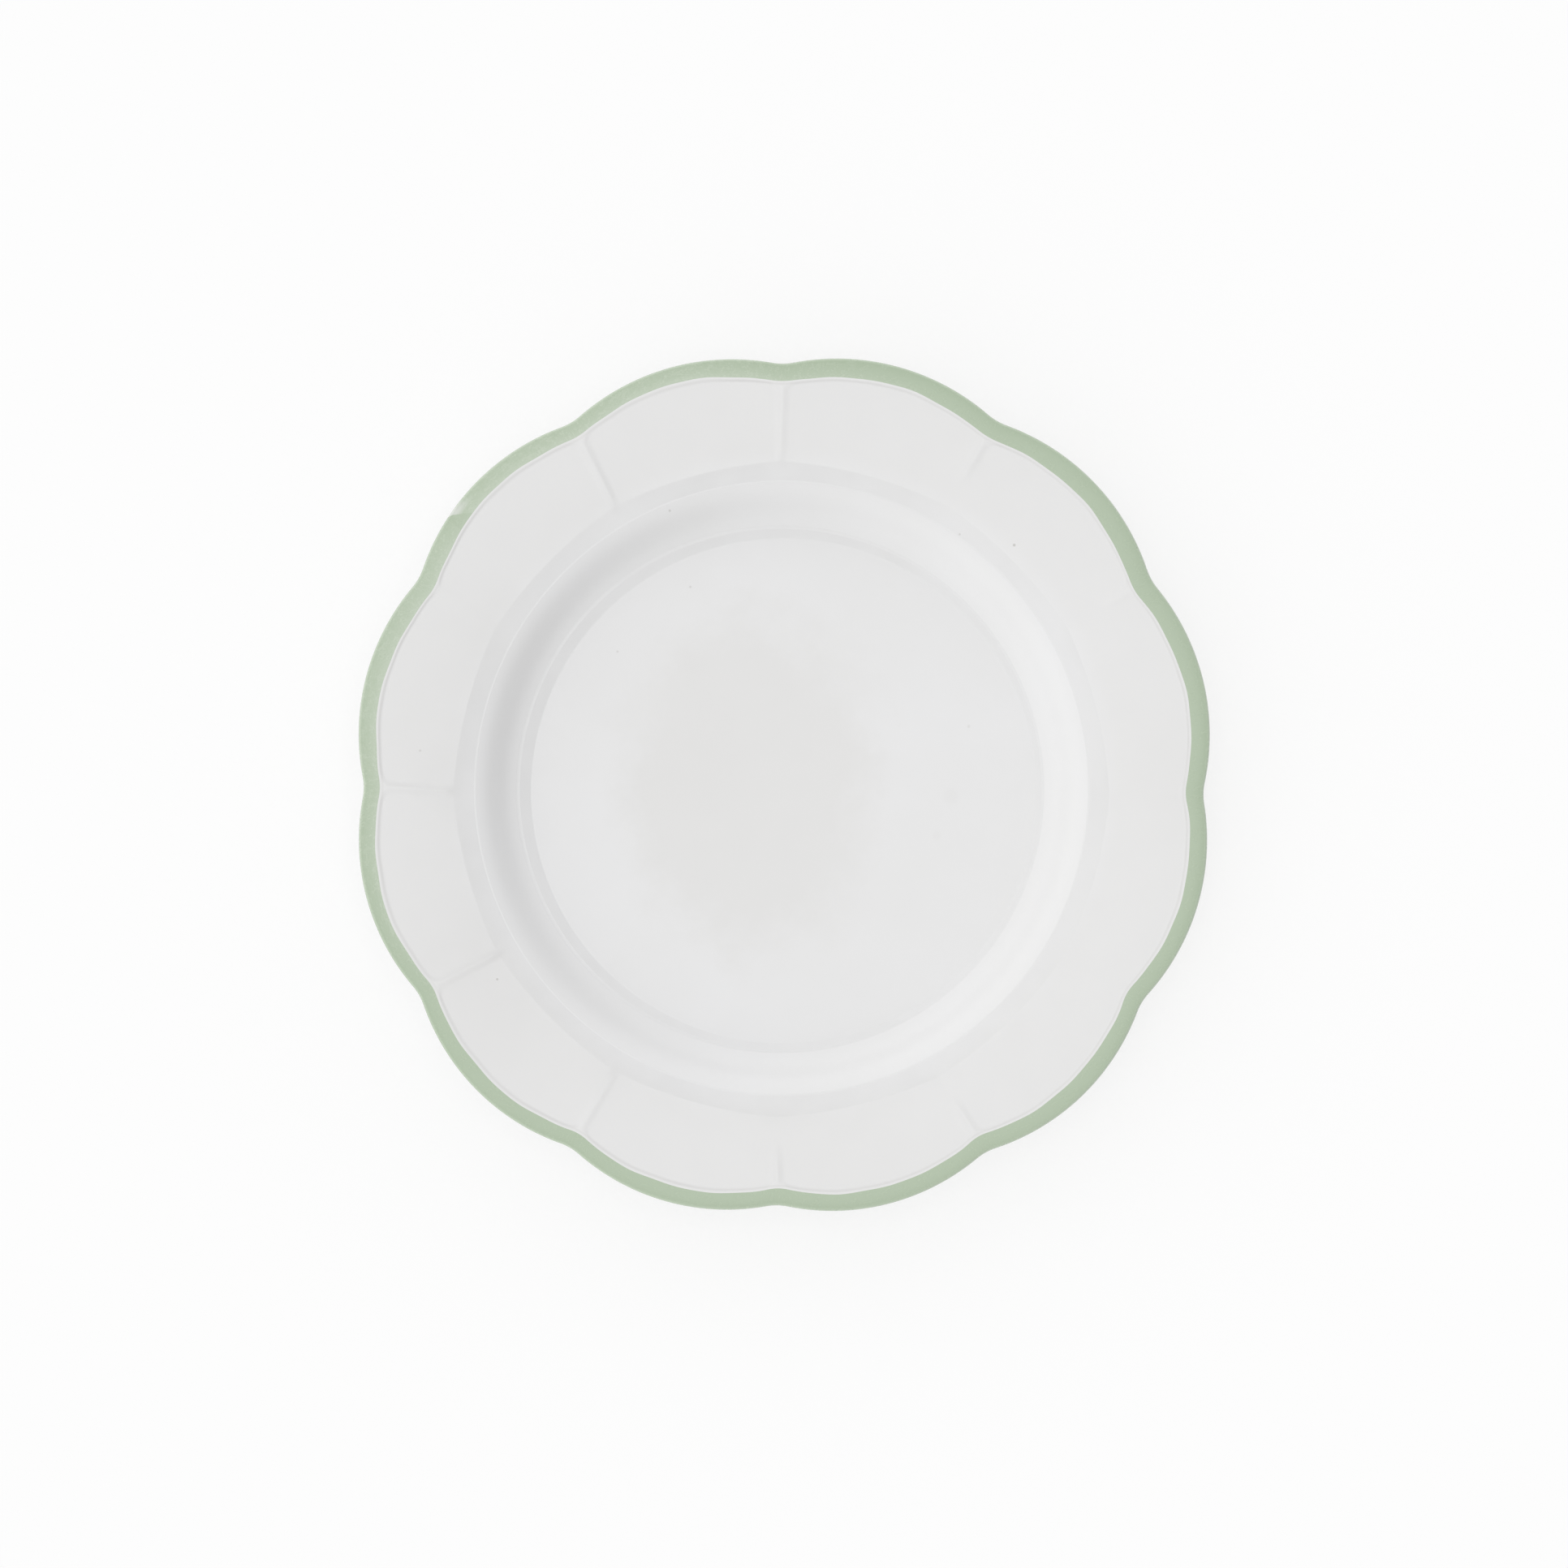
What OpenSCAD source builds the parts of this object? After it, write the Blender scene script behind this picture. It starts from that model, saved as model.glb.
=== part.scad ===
// Bread plate: a pressed clay body with a lobed rim, a foot ring, its coats of glaze and a painted edge.
// Millimetres, +Z up. The origin is the centre of the plane that the foot ring stands on.

/* [Overall] */
// Width over opposite lobes, glaze included
plate_d = 170; // [162:1:190]
// Height from the table to the top of the lip
plate_h = 15.5; // [14:0.5:21]

/* [Lobes] */
// Number of lobes round the rim
lobe_count = 12; // [8:1:16]
// Radius of the arc that each lobe follows
lobe_arc_r = 45; // [38:1:70]
// How far the valley between two lobes is filled in
cusp_fill = 0.25; // [0.1:0.05:0.6]

/* [Rim] */
// Rise of the rim from the shoulder to the lip
rim_rise = 1.5; // [0.6:0.1:2.5]
// Height of the rib between two petals
rib_h = 0.15; // [0.1:0.05:0.6]
// Width of a rib at its foot
rib_w = 3; // [2:0.25:5]
// How far the shoulder's edge is drawn out at each rib
shoulder_point = 0.6; // [0:0.1:1.2]

/* [Well] */
// Width of the flat well
well_d = 99; // [86:1:106]
// Width of the sloped ring round the well
bevel_w = 2.2; // [1.5:0.1:4]
// Rise of that ring
bevel_rise = 0.5; // [0.4:0.1:1.2]
// Width of the S-curved wall, seen from above
cavetto_w = 8.7; // [6:0.1:11]
// Width of the sloped shoulder ring above the wall
shoulder_w = 3.5; // [2.5:0.1:5]
// Rise of the shoulder ring
shoulder_rise = 0.8; // [0.5:0.1:1.6]

/* [Lip and band] */
// Width of the green band on the face
band_w = 3.5; // [2.5:0.1:5]
// Width of the green band on the back
band_back_w = 3; // [2.8:0.1:5]
// Step up from the rim to the lip
lip_step = 0.2; // [0.1:0.05:0.5]
// Width of the slope up that step
lip_step_w = 1.2; // [0.6:0.1:2]
// Thickness of the lip
lip_t = 3.4; // [2.8:0.1:4.4]
// How far the rounding of the lip reaches in
lip_round = 1.4; // [1.2:0.1:2.6]

/* [Walls and glaze] */
// Thickness of the wall and rim, glaze included
wall = 4; // [3:0.1:5]
// Thickness of the well's floor, glaze included
floor_t = 4.5; // [3.5:0.1:6]
// Thickness of each coat
glaze_t = 0.4; // [0.3:0.05:0.6]

/* [Foot] */
// Height of the foot ring
foot_h = 2.5; // [1.5:0.1:4]
// Width of the foot ring
foot_w = 4; // [3:0.1:6]
// From the foot of the wall in to the outside of the foot ring
foot_inset = 2; // [1.4:0.1:5]
// Chamfer on both edges of the tread
foot_chamfer = 0.8; // [0.3:0.1:1.2]
// Bare line where the glaze is wiped back from the foot ring
glaze_wipe = 0.6; // [0.3:0.1:1]

/* [Hidden] */
$fn = 96;

// Straight steps along each curve of the section
cavetto_steps = 4;
rim_steps = 3;
lip_steps = 4;

// Radii of the rings on the face, from the axis out
well_r = well_d / 2;
cavetto_r = well_r + bevel_w;
ridge_r = cavetto_r + cavetto_w;
shoulder_r = ridge_r + shoulder_w;
lip_r = plate_d / 2;
band_r = lip_r - band_w;
step_r = band_r - lip_step_w;
nose_r = lip_r - lip_round;

// Heights of the same rings
floor_z = foot_h + floor_t;
cavetto_z = floor_z + bevel_rise;
rim_z = plate_h - lip_step;
shoulder_z = rim_z - rim_rise;
ridge_z = shoulder_z - shoulder_rise;

// The foot ring, and where the coats stop beside it
foot_r = cavetto_r - foot_inset;
back_glaze_r = foot_r + glaze_wipe;
base_glaze_r = foot_r - foot_w - glaze_wipe;

// Angles at which the section is drawn, close together at each rib: from a rib to the crest of a lobe,
// over that lobe to the next rib, and all round
half_lobe = 180 / lobe_count;
rib_angle = asin(rib_w / 2 / band_r);
petal_steps = 3;
to_crest = concat(
    [0, rib_angle / 2],
    [for (i = [0 : petal_steps]) rib_angle + (half_lobe - rib_angle) * i / petal_steps]
);
over_lobe = concat(to_crest, [for (i = [len(to_crest) - 2 : -1 : 1]) 2 * half_lobe - to_crest[i]]);
turns = [for (lobe = [0 : lobe_count - 1], angle = over_lobe) lobe * 2 * half_lobe + angle];

// Smooth step from 0 to 1, and the larger of two values with the corner between them filled in
function ease(t) = let (u = min(1, max(0, t))) u * u * (3 - 2 * u);
function soft_max(a, b, fill) =
    let (span = 4 * fill, share = min(1, max(0, (a - b + span) / (2 * span))))
        a * share + b * (1 - share) + span * share * (1 - share);

// Radius of one lobe's arc at an angle from its crest, and of the whole outline at an angle from a rib
function lobe_radius(angle) =
    let (centre_r = lip_r - lobe_arc_r, across = centre_r * sin(angle))
        centre_r * cos(angle) + sqrt(lobe_arc_r * lobe_arc_r - across * across);
function from_rib(turn) = let (a = turn % (2 * half_lobe)) min(a, 2 * half_lobe - a);
function outline_radius(turn) =
    let (a = from_rib(turn)) soft_max(lobe_radius(half_lobe - a), lobe_radius(half_lobe + a), cusp_fill);

// How far a ring of the section moves out or in at an angle: nothing inside the ridge, drawn out at the
// shoulder's points, and in to the outline's lobes from the band's inner edge on
function shoulder_move(turn) = shoulder_point * pow(1 - from_rib(turn) / half_lobe, 2);
function ring_move(r, turn) =
    r <= ridge_r ? 0
    : r <= shoulder_r ? shoulder_move(turn) * (r - ridge_r) / shoulder_w
    : let (t = min(1, (r - shoulder_r) / (band_r - shoulder_r)))
        shoulder_move(turn) * (1 - t) + (outline_radius(turn) - lip_r) * t;

// Height of the rib at a distance from its centre line, and its share of that height along the rim: it
// rises from the shoulder and runs level into the lip
function rib_height(r, turn) =
    let (across = r * sin(from_rib(turn))) rib_h * (1 - ease(across / (rib_w / 2)));
function rib_share(t) = ease(2 * t) * (1 + (lip_step / rib_h - 1) * ease(2 * t - 1));

// A section moved sideways by a distance, up being positive on the face, with its corners kept sharp
function way(a, b) = let (d = [b[0] - a[0], b[1] - a[1]]) [-d[1], d[0]] / norm(d);
function moved(path, distance) = [
    for (i = [0 : len(path) - 1])
        let (
            before = way(path[max(i - 1, 0)], path[max(i, 1)]),
            after = way(path[min(i, len(path) - 2)], path[min(i + 1, len(path) - 1)]),
            corner = (before + after) / (1 + before * after)
        )
        [path[i][0] + corner[0] * distance, path[i][1] + corner[1] * distance, path[i][2]]
];

// Section of the glazed plate at a lobe's crest, from the axis over the lip to the foot, as [r, z, rib share]
function cavetto_point(t) = [cavetto_r + cavetto_w * t, cavetto_z + (ridge_z - cavetto_z) * ease(t), 0];
function rim_point(t) =
    [shoulder_r + (step_r - shoulder_r) * t, shoulder_z + rim_rise * (1 - (1 - t) * (1 - t)), rib_share(t)];
function lip_point(angle) =
    [nose_r + lip_round * sin(angle), plate_h - lip_t / 2 * (1 - cos(angle)), 0];

face_section = concat(
    [[0, floor_z, 0], [well_r, floor_z, 0]],
    [for (i = [0 : cavetto_steps]) cavetto_point(i / cavetto_steps)],
    [for (i = [0 : rim_steps]) rim_point(i / rim_steps)],
    [[band_r, plate_h, 0]]
);
lip_section = [for (i = [0 : lip_steps]) lip_point(180 * i / lip_steps)];
face_count = len(face_section);
lip_end = face_count + len(lip_section);

// The back follows the face at the wall's thickness, from part-way out on the rim to half-way down the
// wall, and runs straight from there to the flat base
cavetto_at = 2;
wall_middle_at = cavetto_at + cavetto_steps / 2;
ridge_at = cavetto_at + cavetto_steps;
rim_back_at = ridge_at + rim_steps - 1;
face_back = moved(face_section, -wall);
back_section = concat(
    [[lip_r - band_back_w, plate_h - lip_t, 0]],
    [for (i = [rim_back_at, each [ridge_at : -1 : wall_middle_at]]) [face_back[i][0], face_back[i][1], 0]],
    [[cavetto_r, foot_h - glaze_t, 0], [back_glaze_r, foot_h - glaze_t, 0]]
);
skin = concat(face_section, lip_section, back_section);
biscuit_skin = moved(skin, -glaze_t);

// A stretch of the section, either way along it
function stretch(path, first, last) = [for (i = [first : (first < last ? 1 : -1) : last]) path[i]];

// One point of the section, carried to an angle round the plate
function carried(p, turn) =
    let (r = p[0] + ring_move(p[0], turn))
        [r * cos(turn), r * sin(turn), p[1] + p[2] * rib_height(r, turn)];

// A closed section carried round the plate. The ends of a section that meets the axis are single points.
module lobed(section) {
    rings = [for (p = section) if (p[0] > 0) p];
    poles = [for (p = section) if (p[0] <= 0) [0, 0, p[1]]];
    n = len(turns);
    m = len(rings);
    points = concat([for (p = rings, turn = turns) carried(p, turn)], poles);
    last_ring = len(poles) > 0 ? m - 2 : m - 1;
    walls = [
        for (i = [0 : last_ring], j = [0 : n - 1])
            let (
                a = i * n + j,
                b = i * n + (j + 1) % n,
                c = (i + 1) % m * n + (j + 1) % n,
                d = (i + 1) % m * n + j
            )
            each [[a, c, b], [a, d, c]]
    ];
    caps = len(poles) == 0 ? [] : [
        for (j = [0 : n - 1])
            each [[m * n, j, (j + 1) % n], [m * n + 1, (m - 1) * n + (j + 1) % n, (m - 1) * n + j]]
    ];
    polyhedron(points, concat(walls, caps));
}

// A coat on the biscuit between two places along the section
module coat(first, last) {
    lobed(concat(stretch(skin, first, last), stretch(biscuit_skin, last, first)));
}

module biscuit_body() {
    color("wheat") lobed(concat(biscuit_skin, [[0, foot_h, 0]]));
}

module foot_ring() {
    color("tan") rotate_extrude() polygon([
        [foot_r - foot_w, foot_h],
        [foot_r - foot_w, foot_chamfer],
        [foot_r - foot_w + foot_chamfer, 0],
        [foot_r - foot_chamfer, 0],
        [foot_r, foot_chamfer],
        [foot_r, foot_h]
    ]);
}

module face_glaze() {
    color("whitesmoke") coat(0, face_count - 1);
}

module back_glaze() {
    color("whitesmoke") coat(lip_end, len(skin) - 1);
}

module base_glaze() {
    color("whitesmoke") translate([0, 0, foot_h - glaze_t]) cylinder(r = base_glaze_r, h = glaze_t);
}

module edge_band() {
    color("darkseagreen") coat(face_count - 1, lip_end);
}

biscuit_body();
foot_ring();
face_glaze();
back_glaze();
base_glaze();
edge_band();
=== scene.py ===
"""A small ceramic bread plate: white glaze over pressed clay, a twelve-petal rim and a green painted edge.

Lengths are in millimetres until a piece is made, and metres in the scene. +Z is up out of the well.
"""

import logging
import math
from dataclasses import dataclass, field
from enum import Enum

import bpy
import numpy as np
from bpy.types import Material, Node, NodeTree, Object
from bpy.types import NodeSocket as Socket
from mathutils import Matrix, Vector
from numpy.typing import NDArray


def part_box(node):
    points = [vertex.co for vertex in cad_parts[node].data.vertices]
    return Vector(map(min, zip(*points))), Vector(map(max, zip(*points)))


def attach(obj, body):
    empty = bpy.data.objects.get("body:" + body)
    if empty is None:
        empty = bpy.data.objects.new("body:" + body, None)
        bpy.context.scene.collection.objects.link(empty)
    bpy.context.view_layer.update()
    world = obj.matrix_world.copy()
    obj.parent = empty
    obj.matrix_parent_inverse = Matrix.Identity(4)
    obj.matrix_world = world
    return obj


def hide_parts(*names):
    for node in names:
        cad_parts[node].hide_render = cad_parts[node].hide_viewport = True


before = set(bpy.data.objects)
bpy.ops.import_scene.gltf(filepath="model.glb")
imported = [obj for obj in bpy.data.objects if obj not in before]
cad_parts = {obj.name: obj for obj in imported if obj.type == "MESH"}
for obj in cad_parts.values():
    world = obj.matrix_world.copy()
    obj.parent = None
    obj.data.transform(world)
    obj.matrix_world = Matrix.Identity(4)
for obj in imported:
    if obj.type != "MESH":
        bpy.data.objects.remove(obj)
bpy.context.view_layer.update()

LOG = logging.getLogger("bread_plate")
BODY = "root"
RING_NOTE = "ring"
MM = 0.001
TURN = 2 * math.pi

Floats = NDArray[np.float64]
Pair = tuple[float, float]
Section = list[Pair]
Waves = tuple[tuple[float, float, float], ...]
Colour = tuple[float, float, float, float]
Feed = float | tuple[float, ...] | Socket

WHITE: Colour = (1.0, 1.0, 1.0, 1.0)
NOISE_MID: Pair = (0.3, 0.7)


def ease(t: Floats) -> Floats:
    """Smooth step from 0 to 1."""
    u = np.clip(t, 0.0, 1.0)
    return u * u * (3.0 - 2.0 * u)


def soft_max(a: Floats, b: Floats, fill: float) -> Floats:
    """The larger of two values, with the corner between them filled in.

    Args:
        a: The first values.
        b: The second values.
        fill: How far the corner is raised where both are equal.

    Returns:
        The blended larger values.
    """
    span = 4.0 * fill
    share = np.clip((a - b + span) / (2.0 * span), 0.0, 1.0)
    return a * share + b * (1.0 - share) + span * share * (1.0 - share)


def rounded(path: Section, passes: int = 3) -> Section:
    """A path with its corners cut again and again, so that it runs in smooth curves.

    Args:
        path: The corners as (radius, height).
        passes: How often each corner is cut.

    Returns:
        The smooth path, with the same two ends.
    """
    near, far = 0.75, 0.25
    for _ in range(passes):
        cut = [path[0]]
        for (r0, z0), (r1, z1) in zip(path, path[1:]):
            cut.append((near * r0 + far * r1, near * z0 + far * z1))
            cut.append((far * r0 + near * r1, far * z0 + near * z1))
        path = cut + [path[-1]]
    return path


def from_edge(edge: float, *steps: float) -> list[float]:
    """Radii at the given steps from an edge of the form."""
    return [edge + step for step in steps]


def beside_land(edge: float, half_w: float) -> list[float]:
    """Radii at and just past both sides of a level land on an edge of the form."""
    steps = (half_w, half_w + 0.1, half_w + 0.3)
    return from_edge(edge, *(-step for step in reversed(steps)), *steps)


class Facing(Enum):
    """Which way the outside of a coat looks."""

    UP = 1.0
    DOWN = -1.0
    OUT = 0.0


@dataclass(frozen=True)
class Wobble:
    """One place where the brush wanders: its angle and reach in degrees, and how far inside it runs."""

    at: float
    reach: float
    inside: float

    def stray(self, turn: Floats) -> Floats:
        """How far inside its place the brush runs at an angle, in millimetres."""
        away = (np.degrees(turn) - self.at + 180.0) % 360.0 - 180.0
        return self.inside * np.exp(-((away / self.reach) ** 2))


@dataclass(frozen=True)
class HandTouch:
    """How far the hand-made plate strays from its even form, in millimetres and degrees.

    Each wave round the plate has its share, its number in a turn and its start in radians.
    """

    well_shift: Pair = (-0.03, -1.22)
    wall_shift: Pair = (-0.73, -0.90)
    ridge_shift: Pair = (-0.39, -0.87)
    shoulder_shift: Pair = (-0.52, -1.00)
    rib_heights: tuple[float, ...] = (0.2, 0.9, 1.5, 1.3, 1.45, 0.3, 1.4, 1.35, 1.25, 1.4, 1.4, 0.3)
    rib_starts: tuple[float, ...] = (0.0, 0.6, 0.45, 0.0, 0.0, 0.0, 0.0, 0.0, 0.0, 0.5, 0.5, 0.0)
    rib_drift: float = -0.4
    rib_swing: float = 1.1
    rib_swing_at: float = 150.0
    oval: float = 0.23
    oval_at: float = 60.0
    lean: float = 0.09
    lean_at: float = 230.0
    band_swing: float = 0.3
    band_swing_at: float = 50.0
    band_pinch: float = 0.1
    pinch_reach: float = 0.2
    stray_reach: float = 2.8
    back_stray: float = 0.3
    brush_shake: float = 0.07
    shake_waves: Waves = ((1.0, 23.0, 0.4), (0.7, 37.0, 2.1), (0.5, 61.0, 4.0))
    brush_wobbles: tuple[Wobble, ...] = (
        Wobble(35.0, 14.0, 0.33),
        Wobble(113.0, 16.0, -0.45),
        Wobble(156.0, 13.0, 0.33),
        Wobble(201.0, 11.0, -0.25),
        Wobble(345.0, 18.0, -0.28),
    )
    rim_warp: float = 0.15
    warp_waves: Waves = ((1.0, 2.0, 0.8), (0.6, 3.0, 2.4))
    skin_wave: float = 0.012
    broad_lengths: Pair = (5.3, 6.1)
    bend_lengths: Pair = (9.7, 8.1)
    fine_lengths: Pair = (3.1, 3.7)
    fine_share: float = 0.4

    def rib_turn(self, turn: Floats) -> Floats:
        """How far the ribs have drifted round the plate at an angle, in radians."""
        swing = self.rib_swing * np.cos(turn - math.radians(self.rib_swing_at))
        return np.radians(self.rib_drift + swing)

    def outline_stray(self, turn: Floats) -> Floats:
        """How far the outline strays out or in at an angle."""
        oval = self.oval * np.cos(2.0 * (turn - math.radians(self.oval_at)))
        return oval + self.lean * np.cos(turn - math.radians(self.lean_at))

    def band_stray(self, turn: Floats) -> Floats:
        """How far the painted edge of the band runs inside its place.

        Args:
            turn: Angles round the plate.

        Returns:
            The stray at each angle, with the brush's slow swing, its shake and its wobbles.
        """
        swing = self.band_swing * np.cos(turn - math.radians(self.band_swing_at))
        shake = sum(share * np.sin(count * turn + start) for share, count, start in self.shake_waves)
        return swing + self.brush_shake * shake + sum(wobble.stray(turn) for wobble in self.brush_wobbles)

    def lift_of_rim(self, turn: Floats, share: Floats) -> Floats:
        """How far the rim has warped up or down in the kiln.

        Args:
            turn: Angles round the plate.
            share: 0 at the foot of the wall to 1 at the lip.

        Returns:
            The lift at each point.
        """
        warp = sum(part * np.cos(count * turn + start) for part, count, start in self.warp_waves)
        return self.rim_warp * share * warp / sum(part for part, _, _ in self.warp_waves)

    def ripple(self, x: Floats, y: Floats) -> Floats:
        """The faint unevenness that pressing leaves in the clay.

        Args:
            x: Places on the plate, to the right.
            y: Places on the plate, to the back.

        Returns:
            The height at each place.
        """
        (broad_x, broad_y), (bend_x, bend_y) = self.broad_lengths, self.bend_lengths
        fine_x, fine_y = self.fine_lengths
        along = np.sin(x / broad_x + 0.9 * np.sin(y / bend_y))
        across = np.cos(y / broad_y + 0.7 * np.sin(x / bend_x))
        fine = np.sin((x + 0.6 * y) / fine_x + 1.3) * np.cos((y - 0.4 * x) / fine_y + 0.5)
        return self.skin_wave * (along * across + self.fine_share * fine)


@dataclass(frozen=True)
class PlateForm:
    """The pressed form that all the coats follow, with the hand's touch on it, in millimetres."""

    lip_z: float
    foot_h: float
    foot_r: float
    base_r: float
    lip_r: float = 85.0
    lobe_count: int = 12
    lobe_arc_r: float = 45.0
    cusp_fill: float = 0.25
    well_r: float = 49.9
    cavetto_r: float = 51.8
    ridge_r: float = 60.4
    shoulder_r: float = 63.9
    shoulder_point: float = 0.6
    band_w: float = 3.6
    band_back_w: float = 3.0
    bevel_rise: float = 0.41
    foot_land: float = 0.22
    top_land: float = 0.1
    wall_sway: float = 0.46
    shoulder_rise: float = 0.85
    rim_rise: float = 1.5
    rim_bow: float = 0.6
    lip_step: float = 0.12
    lip_step_w: float = 0.65
    lip_ledge: float = 0.35
    lip_t: float = 3.4
    lip_round: float = 0.8
    crown_in: float = 0.45
    crown_rise: float = 0.015
    nose_steps: int = 14
    rib_h: float = 0.15
    rib_h_inside: float = 0.1
    rib_half_w: float = 1.4
    rib_half_w_inside: float = 1.2
    rib_fade: float = 0.12
    panel_corner: float = 3.2
    wall: float = 4.0
    floor_t: float = 4.5
    glaze_t: float = 0.4
    glaze_wipe: float = 0.6
    spoke_crowding: float = 0.55
    hand: HandTouch = field(default_factory=HandTouch)

    @classmethod
    def from_frame(cls) -> "PlateForm":
        """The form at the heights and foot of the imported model."""
        foot_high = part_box("foot_ring")[1] / MM
        return cls(
            lip_z=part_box("edge_band")[1].z / MM,
            foot_h=foot_high.z,
            foot_r=foot_high.x,
            base_r=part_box("base_glaze")[1].x / MM,
        )

    @property
    def band_r(self) -> float:
        """Radius of the green band's inner edge."""
        return self.lip_r - self.band_w

    @property
    def band_back_r(self) -> float:
        """Radius of the green band's edge on the back."""
        return self.lip_r - self.band_back_w

    @property
    def floor_z(self) -> float:
        """Height of the well's floor."""
        return self.foot_h + self.floor_t

    @property
    def cavetto_z(self) -> float:
        """Height of the foot of the wall."""
        return self.floor_z + self.bevel_rise

    @property
    def rim_z(self) -> float:
        """Height of the rim beside the lip's step."""
        return self.lip_z - self.lip_step

    @property
    def shoulder_z(self) -> float:
        """Height of the shoulder's outer edge."""
        return self.rim_z - self.rim_rise

    @property
    def ridge_z(self) -> float:
        """Height of the top of the wall."""
        return self.shoulder_z - self.shoulder_rise

    @property
    def base_z(self) -> float:
        """Height of the glazed underside."""
        return self.foot_h - self.glaze_t

    @property
    def half_lobe(self) -> float:
        """Half the angle of one lobe, in radians."""
        return math.pi / self.lobe_count

    def face_height(self, r: Floats) -> Floats:
        """Height of the even face: straight rings with level lands between, a swayed wall and a bowed rim.

        Args:
            r: Radii on the even form.

        Returns:
            The height at each radius.
        """
        wall_foot, wall_top = self.cavetto_r + self.foot_land, self.ridge_r - self.top_land
        rings = (
            (self.well_r, self.floor_z),
            (self.cavetto_r - self.foot_land, self.cavetto_z),
            (wall_foot, self.cavetto_z),
            (wall_top, self.ridge_z),
            (self.ridge_r + self.top_land, self.ridge_z),
            (self.shoulder_r, self.shoulder_z),
            (self.band_r, self.rim_z),
        )
        straight = np.interp(r, *zip(*rings))
        t_wall = np.clip((r - wall_foot) / (wall_top - wall_foot), 0.0, 1.0)
        t_rim = np.clip((r - self.shoulder_r) / (self.band_r - self.shoulder_r), 0.0, 1.0)
        wall_sway = (self.ridge_z - self.cavetto_z) * self.wall_sway * np.sin(TURN * t_wall) / TURN
        return straight - wall_sway + self.rim_rise * self.rim_bow * t_rim * (1.0 - t_rim)

    def face_section(self) -> Section:
        """The face from the axis to the band, close-stepped at each crisp ring."""
        crisp = (-0.4, -0.12, 0.0, 0.12, 0.4)
        beside_band = (-3.0, -2.3, -1.7, -1.25, -1.0, -0.84, -0.67, -0.5, -0.35, -0.18, 0.0)
        wall_w = self.ridge_r - self.cavetto_r
        rim_w = self.band_r - self.shoulder_r
        radii = [
            *np.linspace(0.0, 0.94, 6) * self.well_r,
            *from_edge(self.well_r, -1.4, -0.8, *crisp, 0.8),
            *beside_land(self.cavetto_r, self.foot_land),
            *(self.cavetto_r + wall_w * np.linspace(0.09, 0.91, 15)),
            *beside_land(self.ridge_r, self.top_land),
            *from_edge(self.ridge_r, 1.1, 1.9, 2.7),
            *from_edge(self.shoulder_r, *crisp, 0.8, 1.4, 2.1, 3.0),
            *(self.shoulder_r + rim_w * np.linspace(0.25, 0.78, 6)),
            *from_edge(self.band_r, *beside_band),
        ]
        r = np.array(radii)
        return list(zip(r.tolist(), self.face_height(r).tolist()))

    def lip_section(self) -> Section:
        """The lip from the band's inner edge over the nose to its edge on the back."""
        nose_r = self.lip_r - self.lip_round
        crest = (self.band_r + self.crown_in, self.lip_z + self.crown_rise)
        crown = [(self.band_r, self.lip_z), crest, (nose_r, self.lip_z)]
        angles = np.linspace(0.0, math.pi, self.nose_steps + 1)[1:]
        nose = [
            (nose_r + self.lip_round * math.sin(a), self.lip_z - self.lip_t / 2 * (1.0 - math.cos(a)))
            for a in angles
        ]
        return crown + nose + [(self.band_back_r, self.lip_z - self.lip_t)]

    def back_section(self) -> Section:
        """The back from the band under the rim and down the wall to the wiped edge beside the foot ring."""
        under = self.lip_z - self.lip_t
        wiped_r = self.foot_r + self.glaze_wipe
        rim_in, rim_drop = 8.0, 0.6
        shoulder_out, shoulder_up = 4.0, 0.3
        ridge_out, foot_out, edge_out = 1.6, 0.4, 0.1
        corners = [
            (self.band_back_r, under),
            (self.lip_r - rim_in, under - rim_drop),
            (self.shoulder_r + shoulder_out, self.shoulder_z - self.wall + shoulder_up),
            (self.ridge_r + ridge_out, self.ridge_z - self.wall),
            (self.cavetto_r + foot_out, self.base_z),
            (wiped_r + edge_out, self.base_z),
            (wiped_r, self.foot_h),
        ]
        return rounded(corners)

    def from_rib(self, turn: Floats) -> Floats:
        """Angle from the nearest rib, in radians."""
        return np.abs((turn + self.half_lobe) % (2.0 * self.half_lobe) - self.half_lobe)

    def lobe_radius(self, angle: Floats) -> Floats:
        """Radius of one lobe's arc at an angle from its crest."""
        centre_r = self.lip_r - self.lobe_arc_r
        return centre_r * np.cos(angle) + np.sqrt(self.lobe_arc_r**2 - (centre_r * np.sin(angle)) ** 2)

    def outline(self, rib_angle: Floats) -> Floats:
        """Radius of the even outline at an angle from the nearest rib."""
        near = self.lobe_radius(self.half_lobe - rib_angle)
        return soft_max(near, self.lobe_radius(self.half_lobe + rib_angle), self.cusp_fill)

    def ring_move(self, r: Floats, rib_angle: Floats, turn: Floats) -> Floats:
        """How far a ring moves out or in: nothing inside the ridge, to the outline at the lip.

        Args:
            r: Radii on the even form.
            rib_angle: Angles from the nearest rib.
            turn: Angles round the plate.

        Returns:
            The move of each point along its radius.
        """
        point = self.shoulder_point * (1.0 - rib_angle / self.half_lobe) ** 2
        to_outline = self.outline(rib_angle) + self.hand.outline_stray(turn) - self.lip_r
        inside = np.clip((r - self.ridge_r) / (self.shoulder_r - self.ridge_r), 0.0, 1.0)
        t = np.clip((r - self.shoulder_r) / (self.band_r - self.shoulder_r), 0.0, 1.0)
        return point * inside * (1.0 - t) + to_outline * t

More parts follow.
